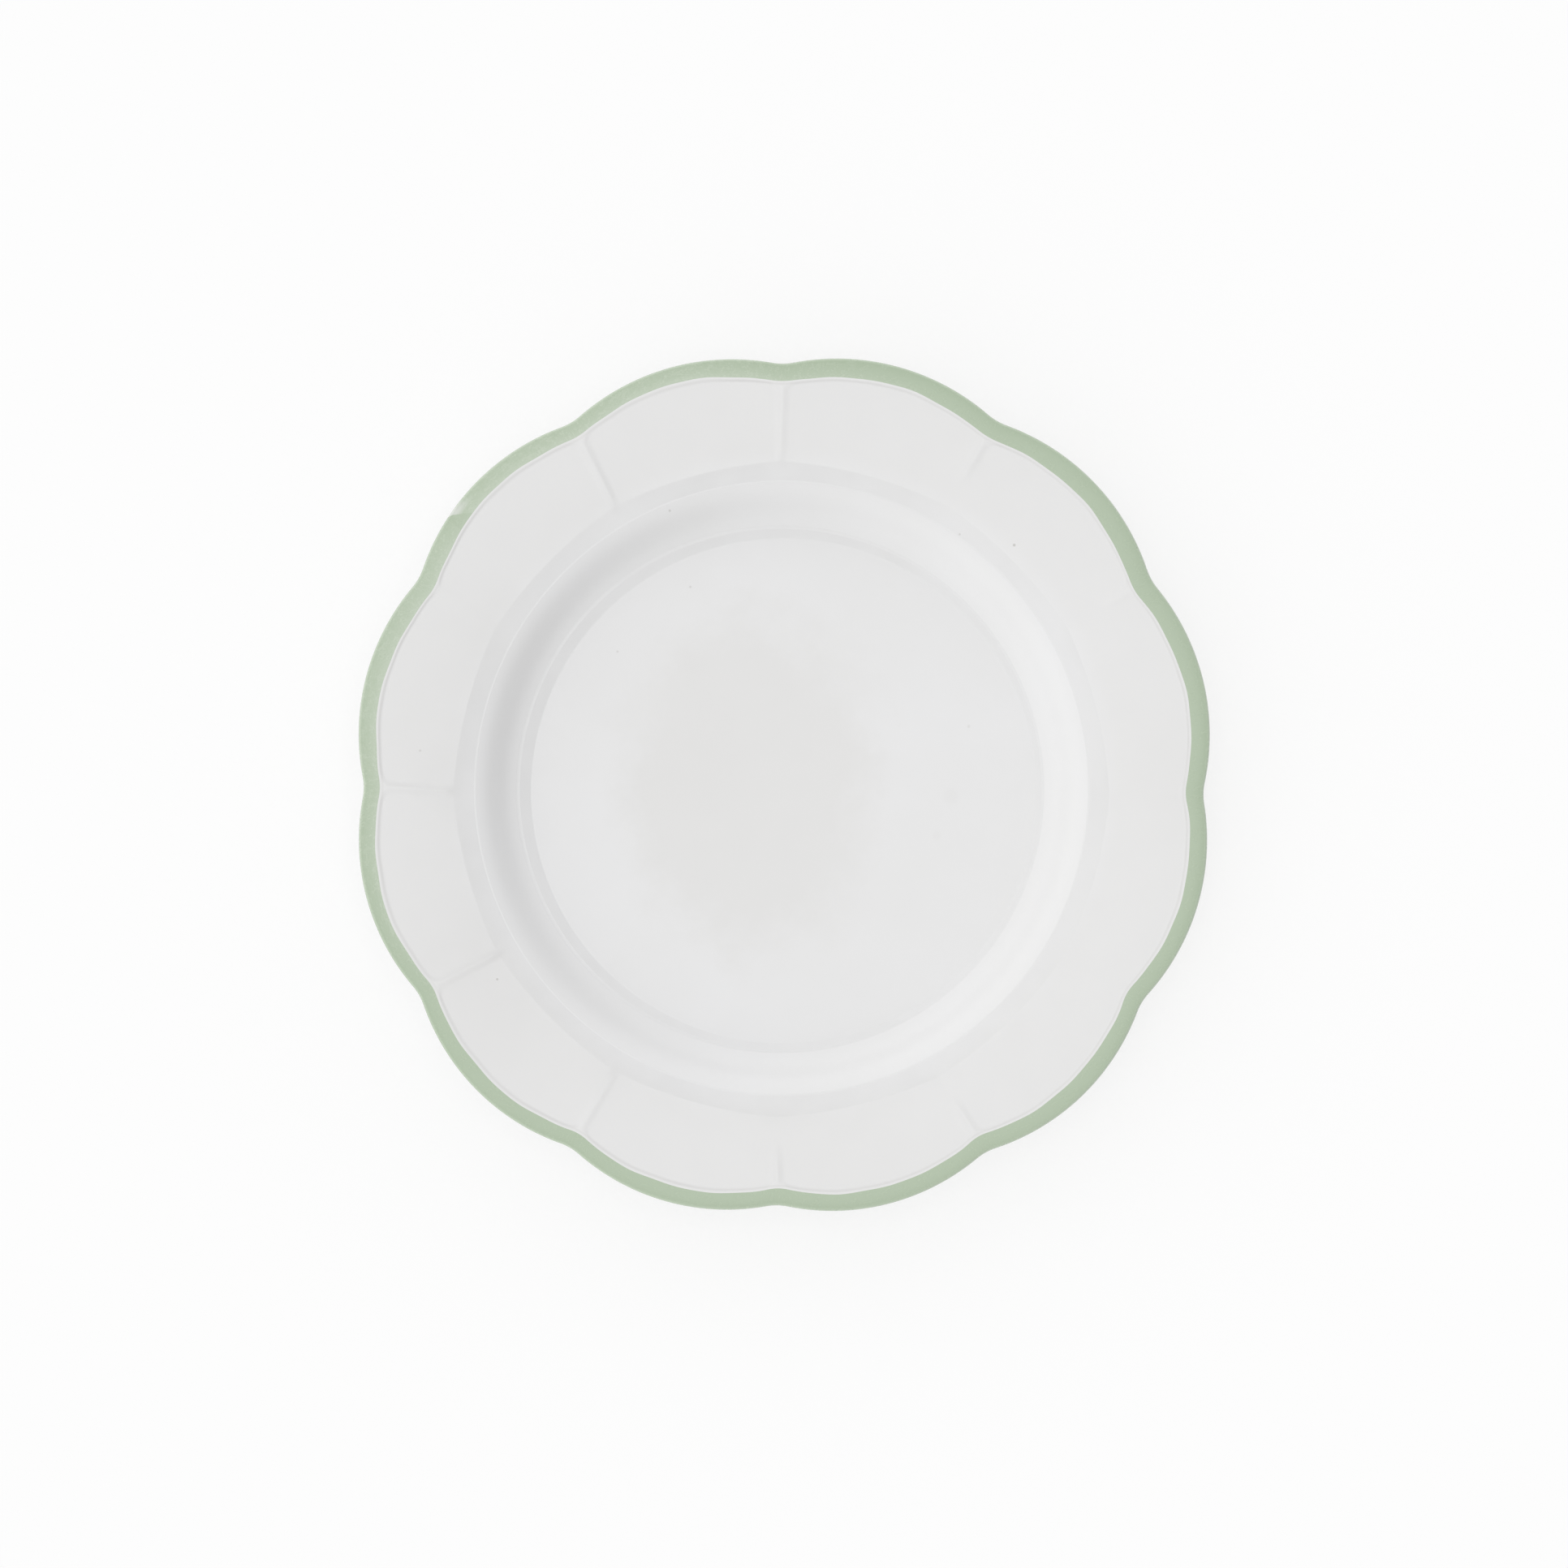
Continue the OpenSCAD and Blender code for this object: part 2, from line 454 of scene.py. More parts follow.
    def panel_lift(self, r: Floats, rib_turn: Floats) -> Floats:
        """Height of the ribs and of the lip's step above the sunk petals.

        Args:
            r: Radii on the even form.
            rib_turn: Angles round the plate, with the ribs at even steps.

        Returns:
            The lift of each point of the face.
        """
        out = (r - self.shoulder_r) / (self.band_r - self.shoulder_r)
        half_w = np.interp(out, (0.0, 1.0), (self.rib_half_w_inside, self.rib_half_w))
        full_h = np.interp(out, (0.0, 1.0), (self.rib_h_inside, self.rib_h))
        to_rib = r * np.sin(self.from_rib(rib_turn))
        to_band = np.maximum(self.band_r - self.lip_ledge - r, 0.0) * half_w / self.lip_step_w
        corner = self.panel_corner
        from_corner = np.hypot(corner - np.minimum(to_rib, corner), corner - np.minimum(to_band, corner))
        to_edge = np.maximum(corner - from_corner, 0.0)
        lift = 1.0 - np.minimum(to_edge / half_w, 1.0)
        rib = np.round(rib_turn / (2.0 * self.half_lobe)).astype(int) % self.lobe_count
        start = np.take(self.hand.rib_starts, rib)
        grown = ease((out - start + self.rib_fade) / (2.0 * self.rib_fade))
        rib_height = full_h * np.take(self.hand.rib_heights, rib) * grown
        by_band = ease(1.0 - to_band / (2.0 * half_w))
        return lift * (rib_height + (self.lip_step - rib_height) * by_band)

    def ring_shift(self, r: Floats) -> tuple[Floats, Floats]:
        """How far off centre the rings on the face lie.

        Args:
            r: Radii on the even form.

        Returns:
            The shift at each radius, along X and along Y.
        """
        hand = self.hand
        radii = (self.well_r, self.cavetto_r, self.ridge_r, self.shoulder_r, self.band_r)
        shifts = (hand.well_shift, hand.wall_shift, hand.ridge_shift, hand.shoulder_shift, (0.0, 0.0))
        along_x, along_y = zip(*shifts)
        return np.interp(r, radii, along_x), np.interp(r, radii, along_y)

    def wall_foot_lift(self, r: Floats, turn: Floats) -> Floats:
        """How far the foot of the wall is lifted so that the ring round the well slopes evenly.

        Args:
            r: Radii on the even form.
            turn: Angles round the plate.

        Returns:
            The lift, up where the off-centre rings make that ring wide and down where it is narrow.
        """
        (well_x, well_y), (wall_x, wall_y) = self.hand.well_shift, self.hand.wall_shift
        wider = (wall_x - well_x) * np.cos(turn) + (wall_y - well_y) * np.sin(turn)
        share = np.interp(r, (self.well_r, self.cavetto_r, self.ridge_r), (0.0, 1.0, 0.0))
        return share * wider * self.bevel_rise / (self.cavetto_r - self.well_r)

    def press(self, points: Floats) -> Floats:
        """Presses an evenly turned shape into the petals, and gives it the hand's touch.

        Args:
            points: Places on the turned shape, one row each.

        Returns:
            The pressed places.
        """
        hand = self.hand
        x, y, z = points.T
        r = np.hypot(x, y)
        even_turn = np.arctan2(y, x)
        rib_turn = even_turn - self.spoke_crowding / self.lobe_count * np.sin(self.lobe_count * even_turn)
        rib_angle = self.from_rib(rib_turn)
        turn = rib_turn + hand.rib_turn(rib_turn)
        on_face = z > self.face_height(np.minimum(r, self.band_r)) - self.wall / 2
        edge_r = np.where(on_face, self.band_r, self.band_back_r)
        near_edge = np.maximum(1.0 - np.abs(r - edge_r) / hand.stray_reach, 0.0)
        pinch = hand.band_pinch * np.exp(-((rib_angle / self.half_lobe / hand.pinch_reach) ** 2))
        stray = (pinch - hand.band_stray(turn)) * near_edge
        moved_r = r + self.ring_move(r, rib_angle, turn) + np.where(on_face, stray, hand.back_stray * stray)
        shift_x, shift_y = self.ring_shift(r)
        new_x = moved_r * np.cos(turn) + np.where(on_face, shift_x, 0.0)
        new_y = moved_r * np.sin(turn) + np.where(on_face, shift_y, 0.0)
        up_wall = ease((r - self.cavetto_r) / (self.band_r - self.cavetto_r))
        new_z = z + hand.lift_of_rim(turn, up_wall)
        inside_step = on_face & (z < self.rim_z + self.lip_step / 2)
        settled = ease((self.band_r - r) / self.lip_step_w)
        face_touch = self.panel_lift(r, rib_turn) + hand.ripple(new_x, new_y) * settled
        new_z = new_z + np.where(inside_step, face_touch + self.wall_foot_lift(r, turn), 0.0)
        return np.column_stack((new_x, new_y, new_z))


@dataclass(frozen=True)
class Lathe:
    """Turns a section into a mesh in even steps, with the operators that a modeller would use by hand."""

    spokes: int
    merge: float = 2e-6

    def turn(self, name: str, section: Section, facing: Facing) -> Object:
        """Turns a section round the plate's axis.

        Args:
            name: Name of the new piece.
            section: The section as (radius, height), in millimetres.
            facing: Which way the outside looks.

        Returns:
            The new object, with its place in its mesh.
        """
        bpy.ops.object.select_all(action="DESELECT")
        bpy.ops.mesh.primitive_plane_add(size=MM, location=(0.0, 0.0, 0.0))
        piece = bpy.context.active_object
        piece.name = name
        piece.data.name = name
        bpy.ops.object.mode_set(mode="EDIT")
        bpy.ops.mesh.select_all(action="SELECT")
        bpy.ops.mesh.merge(type="CENTER")
        first_r, first_z = section[0]
        bpy.ops.transform.translate(value=(first_r * MM, 0.0, first_z * MM))
        for (r0, z0), (r1, z1) in zip(section, section[1:]):
            step = ((r1 - r0) * MM, 0.0, (z1 - z0) * MM)
            bpy.ops.mesh.extrude_vertices_move(TRANSFORM_OT_translate={"value": step})
        bpy.ops.mesh.select_all(action="SELECT")
        bpy.ops.mesh.spin(steps=self.spokes, angle=TURN, center=(0.0, 0.0, 0.0), axis=(0.0, 0.0, 1.0))
        bpy.ops.mesh.select_all(action="SELECT")
        bpy.ops.mesh.remove_doubles(threshold=self.merge)
        bpy.ops.mesh.normals_make_consistent(inside=False)
        bpy.ops.object.mode_set(mode="OBJECT")
        self.face(piece, facing)
        return piece

    def face(self, piece: Object, facing: Facing) -> None:
        """Turns an open coat over if its outside looks the wrong way.

        Args:
            piece: The turned coat.
            facing: Which way its outside looks.
        """
        if facing is Facing.OUT:
            return
        normals = np.empty(len(piece.data.polygons) * 3)
        piece.data.polygons.foreach_get("normal", normals)
        if normals.reshape(-1, 3)[:, 2].sum() * facing.value < 0.0:
            bpy.ops.object.mode_set(mode="EDIT")
            bpy.ops.mesh.select_all(action="SELECT")
            bpy.ops.mesh.flip_normals()
            bpy.ops.object.mode_set(mode="OBJECT")


def points_of(piece: Object) -> Floats:
    """Places of a mesh's points, one row each, in millimetres."""
    flat = np.empty(len(piece.data.vertices) * 3)
    piece.data.vertices.foreach_get("co", flat)
    return flat.reshape(-1, 3) / MM


def set_points(piece: Object, points: Floats) -> None:
    """Moves a mesh's points to places given in millimetres."""
    piece.data.vertices.foreach_set("co", (points * MM).ravel())
    piece.data.update()


def smooth(piece: Object, crease: float) -> None:
    """Shades a piece smooth.

    Args:
        piece: The piece.
        crease: The angle in degrees from which an edge stays sharp.
    """
    bpy.ops.object.select_all(action="DESELECT")
    piece.select_set(True)
    bpy.context.view_layer.objects.active = piece
    bpy.ops.object.shade_smooth_by_angle(angle=math.radians(crease))


@dataclass(frozen=True)
class Grain:
    """Soft noise: its waves per unit of length, its finer layers and how strong they are."""

    waves: float
    layers: float = 2.0
    rough: float = 0.5


class NodeGraph:
    """A tree of nodes, with short ways to add to it."""

    def __init__(self, tree: NodeTree) -> None:
        """A graph on an existing tree."""
        self.tree = tree

    def feed(self, socket: Socket, value: Feed) -> None:
        """Links a socket to another, or sets its own value.

        Args:
            socket: The socket that is fed.
            value: Another socket, or a value.
        """
        if isinstance(value, Socket):
            self.tree.links.new(value, socket)
        else:
            socket.default_value = value

    def add(self, kind: str, inputs: dict[str | int, Feed], **settings: object) -> Node:
        """Adds a node.

        Args:
            kind: The node's type.
            inputs: What feeds each of its sockets.
            **settings: Its own settings.

        Returns:
            The new node.
        """
        node = self.tree.nodes.new(kind)
        for key, value in settings.items():
            setattr(node, key, value)
        for key, value in inputs.items():
            self.feed(node.inputs[key], value)
        return node

    def noise(self, vector: Feed, grain: Grain) -> Socket:
        """Soft noise from 0 to 1."""
        inputs = {"Vector": vector, "Scale": grain.waves, "Detail": grain.layers, "Roughness": grain.rough}
        return self.add("ShaderNodeTexNoise", inputs).outputs["Fac"]

    def ranged(self, value: Feed, low: float, high: float, to: Pair = (0.0, 1.0)) -> Socket:
        """A value's range from low to high, mapped smoothly to another range."""
        inputs = {"Value": value, "From Min": low, "From Max": high, "To Min": to[0], "To Max": to[1]}
        return self.add("ShaderNodeMapRange", inputs, interpolation_type="SMOOTHSTEP").outputs["Result"]

    def math(self, operation: str, a: Feed, b: Feed = 0.0, c: Feed = 0.0) -> Socket:
        """A sum or the like of two or three values."""
        return self.add("ShaderNodeMath", {0: a, 1: b, 2: c}, operation=operation).outputs["Value"]

    def measure(self, operation: str, a: Feed, b: Feed = (0.0, 0.0, 0.0)) -> Socket:
        """A length or the like of one or two vectors."""
        return self.add("ShaderNodeVectorMath", {0: a, 1: b}, operation=operation).outputs["Value"]

    def split(self, vector: Feed) -> list[Socket]:
        """The three parts of a vector."""
        return list(self.add("ShaderNodeSeparateXYZ", {"Vector": vector}).outputs)

    def blend(self, share: Feed, a: Feed, b: Feed) -> Socket:
        """A colour between two others."""
        return self.add("ShaderNodeMix", {0: share, 6: a, 7: b}, data_type="RGBA").outputs[2]

    def mixed(self, share: Feed, first: Feed, second: Feed) -> Socket:
        """The first shader where the share is 0 and the second where it is 1."""
        return self.add("ShaderNodeMixShader", {0: share, 1: first, 2: second}).outputs["Shader"]


class FinishGraph(NodeGraph):
    """One material and the nodes that make its finish."""

    def __init__(self, name: str) -> None:
        """A new material with a plain shader to feed."""
        self.material = bpy.data.materials.new(name)
        self.material.use_nodes = True
        super().__init__(self.material.node_tree)
        self.shader = self.tree.nodes["Principled BSDF"]

    def place(self) -> Socket:
        """Places on the piece, in metres."""
        return self.add("ShaderNodeTexCoord", {}).outputs["Object"]

    def plan(self) -> Socket:
        """Places on the piece seen from above, in millimetres."""
        flat = (1.0 / MM, 1.0 / MM, 0.0)
        return self.add("ShaderNodeMapping", {"Vector": self.place(), "Scale": flat}).outputs["Vector"]

    def strokes(self, uv_map: str) -> Socket:
        """Places along and across the brush's path."""
        return self.add("ShaderNodeUVMap", {}, uv_map=uv_map).outputs["UV"]

    def note(self, name: str) -> Socket:
        """A value that was noted on each point of the piece."""
        return self.add("ShaderNodeAttribute", {}, attribute_name=name).outputs["Fac"]

    def bump(self, height: Feed, depth: float, **under: Feed) -> Socket:
        """A fine relief of a depth in metres, on the broader one that is given as Normal, if any."""
        inputs = {"Height": height, "Distance": depth, "Strength": 1.0, **under}
        return self.add("ShaderNodeBump", inputs).outputs["Normal"]

    def finished(self, **sockets: Feed) -> Material:
        """Feeds the shader and gives the finished material.

        Args:
            **sockets: What feeds each socket, by its name with _ for a space.

        Returns:
            The material.
        """
        for name, value in sockets.items():
            self.feed(self.shader.inputs[name.replace("_", " ")], value)
        return self.material


@dataclass(frozen=True)
class WhiteGlaze:
    """Glossy off-white glaze with a soft cloudiness and a few burnt specks."""

    name: str
    tone: Colour = (0.817, 0.817, 0.820, 1.0)
    cloud: Colour = (0.805, 0.804, 0.803, 1.0)
    clouds: Grain = Grain(26.0, 4.0, 0.55)
    clouds_from: Pair = (0.35, 0.7)
    speck: Colour = (0.30, 0.27, 0.23, 1.0)
    speck_waves: float = 70.0
    speck_reach: float = 0.035
    speck_core: float = 0.5
    speck_share: float = 0.93
    speck_strength: Pair = (0.15, 0.6)
    dulling: Grain = Grain(180.0, 3.0)
    roughness: Pair = (0.16, 0.26)
    ripple: Grain = Grain(75.0, 1.0)
    ripple_depth: float = 2.5e-5
    peel: Grain = Grain(900.0)
    peel_depth: float = 1.5e-6

    def material(self) -> Material:
        """Makes the glaze's material."""
        graph = FinishGraph(self.name)
        place = graph.place()
        cloud = graph.ranged(graph.noise(place, self.clouds), *self.clouds_from)
        white = graph.blend(cloud, self.tone, self.cloud)
        rough = graph.ranged(graph.noise(place, self.dulling), *NOISE_MID, self.roughness)
        ripple = graph.bump(graph.noise(place, self.ripple), self.ripple_depth)
        peel = graph.bump(graph.noise(place, self.peel), self.peel_depth, Normal=ripple)
        return graph.finished(Base_Color=self.marked(graph, white), Roughness=rough, Normal=peel)

    def marked(self, graph: FinishGraph, white: Feed) -> Socket:
        """The glaze with burnt specks scattered in it.

        Args:
            graph: The material.
            white: The glaze's colour without marks.

        Returns:
            The colour with its marks.
        """
        cells = graph.add("ShaderNodeTexVoronoi", {"Vector": graph.place(), "Scale": self.speck_waves})
        spot = graph.ranged(cells.outputs["Distance"], self.speck_reach, self.speck_core * self.speck_reach)
        pick = graph.add("ShaderNodeSeparateColor", {"Color": cells.outputs["Color"]})
        chosen = graph.math("GREATER_THAN", pick.outputs["Red"], self.speck_share)
        strength = graph.ranged(pick.outputs["Green"], 0.0, 1.0, self.speck_strength)
        share = graph.math("MULTIPLY", graph.math("MULTIPLY", spot, chosen), strength)
        return graph.blend(share, white, self.speck)


@dataclass(frozen=True)
class Spot:
    """One dark patch in the glaze: its place and reach in millimetres, and how dark it is; small ones are
    burnt specks, wide soft ones are painted shade.
    """

    x: float
    y: float
    reach: float
    strength: float


@dataclass(frozen=True)
class FaceGlaze(WhiteGlaze):
    """The glaze on the face: a painted reflection as a dark oval in the well, painted shade on the shoulder
    and rim, a few specks and wide soft patches of painted shade, and a thin darker line beside the band.
    """

    thin_at: float = 80.8
    thin_reach: float = 0.36
    thin_core: float = 0.2
    thin_strength: float = 0.085
    # This darker tone is painted light: a painted reflection as a soft oval in the well, and painted shade
    # over the shoulder and rim.
    reflection_and_shade_tone: Colour = (0.776, 0.773, 0.767, 1.0)
    reflection_at: Pair = (-7.0, 0.5)
    reflection_size: Pair = (26.0, 33.0)
    reflection_edge: Pair = (1.7, 1.15)
    reflection_wander: Grain = Grain(0.06, 6.0, 0.65)
    # Painted shade: the glaze is darkened from the shoulder out over the rim.
    rim_shade: float = 0.6
    rim_shade_from: Pair = (61.0, 67.0)
    spot_core: float = 0.3
    specks_and_shade_patches: tuple[Spot, ...] = (
        Spot(-22.5, 53.8, 0.35, 0.30),
        Spot(45.3, 46.9, 0.40, 0.45),
        Spot(34.6, 49.1, 0.30, 0.25),
        Spot(-18.5, 39.1, 0.35, 0.22),
        Spot(-32.9, 26.3, 0.35, 0.20),
        Spot(-71.5, 6.4, 0.35, 0.22),
        Spot(-56.3, -38.5, 0.35, 0.40),
        Spot(36.5, 11.5, 0.45, 0.12),
        Spot(33.0, -2.4, 2.2, 0.03),
        Spot(30.1, -10.1, 1.3, 0.03),
        # The three wide soft patches below are painted shade, the first of them deepening the painted
        # reflection in the well.
        Spot(-20.0, 4.0, 17.0, 0.010),
        Spot(78.0, 0.0, 20.0, 0.018),
        Spot(-64.0, -44.0, 26.0, 0.035),
    )

    def marked(self, graph: FinishGraph, white: Feed) -> Socket:
        """The glaze with its painted reflection and painted shade, its thin line beside the band, its
        specks and its wide soft patches of painted shade.

        Args:
            graph: The material.
            white: The glaze's colour without marks.

        Returns:
            The colour with its marks.
        """
        plan = graph.plan()
        off_line = graph.math("ABSOLUTE", graph.math("SUBTRACT", graph.note(RING_NOTE), self.thin_at))
        thin_line = (0.0, self.thin_strength)
        marks_and_shade = graph.ranged(off_line, self.thin_reach, self.thin_core * self.thin_reach, thin_line)
        # Small spots are burnt specks; the wide soft ones are painted shade.
        for spot in self.specks_and_shade_patches:
            away = graph.measure("DISTANCE", plan, (spot.x, spot.y, 0.0))
            dark = graph.ranged(away, spot.reach, self.spot_core * spot.reach, (0.0, spot.strength))
            marks_and_shade = graph.math("MAXIMUM", marks_and_shade, dark)
        return graph.blend(marks_and_shade, self.with_reflection_and_shade(graph, plan, white), self.speck)

    def with_reflection_and_shade(self, graph: FinishGraph, plan: Feed, white: Feed) -> Socket:
        """The glaze with a painted reflection, a soft-edged darker oval in the well, and painted shade
        darkening the shoulder and rim.

        Args:
            graph: The material.
            plan: Places on the piece seen from above.
            white: The glaze's colour without the painted reflection and shade.

        Returns:
            The colour with the painted reflection and shade.
        """
        (x, y), (half_w, half_h) = self.reflection_at, self.reflection_size
        scale = (1.0 / half_w, 1.0 / half_h, 0.0)
        centred = {"Vector": plan, "Location": (-x / half_w, -y / half_h, 0.0), "Scale": scale}
        away = graph.measure("LENGTH", graph.add("ShaderNodeMapping", centred).outputs["Vector"])
        edge = graph.math("ADD", away, graph.noise(plan, self.reflection_wander))
        # Painted reflection: a soft darker oval in the well.
        reflection_share = graph.ranged(edge, *self.reflection_edge)
        # Painted shade over the shoulder and rim.
        rim_shade_share = graph.ranged(graph.measure("LENGTH", plan), *self.rim_shade_from, (0.0, self.rim_shade))
        return graph.blend(graph.math("MAXIMUM", reflection_share, rim_shade_share), white, self.reflection_and_shade_tone)


@dataclass(frozen=True)
class BrushedGreen:
    """Pale green ceramic colour, dabbed on with a brush in one round of the plate."""

    name: str
    uv_map: str
    round_length: float
    deep: Colour = (0.450, 0.542, 0.403, 1.0)
    thin: Colour = (0.550, 0.628, 0.505, 1.0)
    thin_from: Pair = (0.5, 1.0)
    bare: Colour = (0.680, 0.715, 0.655, 1.0)
    double: Colour = (0.425, 0.518, 0.378, 1.0)
    double_share: float = 0.5
    blotch: Grain = Grain(0.7, 3.0, 0.6)
    blotch_share: float = 0.4
    grain: Grain = Grain(2.8, 2.0, 0.6)
    grain_share: float = 0.3
    thin_side: tuple[float, float, float] = (-0.80, 0.60, 0.0)
    thin_side_from: Pair = (-0.03, 0.085)
    thin_side_share: Pair = (-0.175, 0.395)
    inner_edge: Pair = (1.6, 0.2)
    inner_share: float = 0.14
    outer_edge: float = 3.9
    slant: float = 0.7
    dry_along: Pair = (3.4, 0.6)
    dry_inner: Pair = (1.3, 2.8)
    dry_outer: Pair = (5.4, 4.0)
    start_blur: float = 0.12
    start_along: Pair = (5.0, 1.0)
    start_share: float = 0.5
    roughness: Pair = (0.20, 0.30)
    brush_depth: float = 2.5e-6

    def material(self) -> Material:
        """Makes the colour's material."""
        graph = FinishGraph(self.name)
        strokes = graph.strokes(self.uv_map)
        blotches = graph.noise(strokes, self.blotch)
        cover = graph.ranged(self.cover(graph, strokes, blotches), *self.thin_from)
        paint = self.brush_mark(graph, strokes, graph.blend(cover, self.deep, self.thin))
        rough = graph.ranged(blotches, *NOISE_MID, self.roughness)
        dabs = graph.bump(blotches, self.brush_depth)
        return graph.finished(Base_Color=paint, Roughness=rough, Normal=dabs)

    def cover(self, graph: FinishGraph, strokes: Feed, blotches: Feed) -> Socket:
        """How thinly the colour covers: blotchy, most on one side and along the inner edge.

        Args:
            graph: The material.
            strokes: Places along and across the brush's path.
            blotches: The dabs of the brush.

        Returns:
            About 0 where it is thick to 1 where it is thin.
        """
        grain = graph.math("MULTIPLY", graph.noise(strokes, self.grain), self.grain_share)
        dabbed = graph.math("MULTIPLY_ADD", blotches, self.blotch_share, grain)
        side = graph.measure("DOT_PRODUCT", graph.place(), self.thin_side)
        towards = graph.ranged(side, *self.thin_side_from, self.thin_side_share)
        _, across, _ = graph.split(strokes)
        inner = graph.ranged(across, *self.inner_edge, (0.0, self.inner_share))
        return graph.math("ADD", graph.math("ADD", dabbed, towards), inner)

    def brush_mark(self, graph: FinishGraph, strokes: Feed, paint: Feed) -> Socket:
        """The colour with the mark where the brush runs dry and meets the start of its round.

        Args:
            graph: The material.
            strokes: Places along and across the brush's path.
            paint: The colour without the mark.

        Returns:
            The finished colour.
        """
        along, across, _ = graph.split(strokes)
        slanted = graph.math("MULTIPLY", graph.math("SUBTRACT", self.outer_edge, across), self.slant)
        to_start = graph.math("SUBTRACT", graph.math("SUBTRACT", self.round_length, along), slanted)
        in_from, out_from = (graph.ranged(across, *side) for side in (self.dry_inner, self.dry_outer))
        dry_part = graph.math("MULTIPLY", in_from, out_from)
        dry = graph.math("MULTIPLY", graph.ranged(to_start, *self.dry_along), dry_part)
        overlap = graph.ranged(to_start, self.start_blur, -self.start_blur)
        loaded = graph.ranged(along, *self.start_along, (0.0, self.start_share))
        thick = graph.math("MAXIMUM", overlap, loaded)
        twice = graph.blend(self.double_share, paint, self.double)
        return graph.blend(thick, graph.blend(dry, paint, self.bare), twice)


@dataclass(frozen=True)
class BareClay:
    """Matt fired clay with a sandy grain."""

    name: str
    light: Colour
    dark: Colour
    patches: Grain = Grain(60.0, 3.0)
    grain: Grain = Grain(900.0, 4.0, 0.65)
    grain_depth: float = 6e-5
    tone_from: Pair = (0.4, 1.6)
    rough_from: Pair = (0.2, 0.8)
    roughness: Pair = (0.78, 0.95)

    def material(self) -> Material:
        """Makes the clay's material."""
        graph = FinishGraph(self.name)
        place = graph.place()
        patches = graph.ranged(graph.noise(place, self.patches), *NOISE_MID)
        grain = graph.noise(place, self.grain)
        tone = graph.ranged(graph.math("ADD", patches, grain), *self.tone_from)
        clay = graph.blend(tone, self.light, self.dark)
        rough = graph.ranged(grain, *self.rough_from, self.roughness)
        return graph.finished(Base_Color=clay, Roughness=rough, Normal=graph.bump(grain, self.grain_depth))


@dataclass
class Piece:
    """One finished piece of the plate: the node that it stands for, and a material slot name that nothing
    reads.
    """

    node: str
    slot: str

    def fit(self, piece: Object, material: Material) -> None:
        """Dresses a finished mesh and sets it on the plate.

        Args:
            piece: The finished object.
            material: Its finish.
        """
        piece.data.materials.clear()
        piece.data.materials.append(material)
        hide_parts(self.node)
        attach(piece, BODY)
        LOG.info("%s: %d faces", piece.name, len(piece.data.polygons))


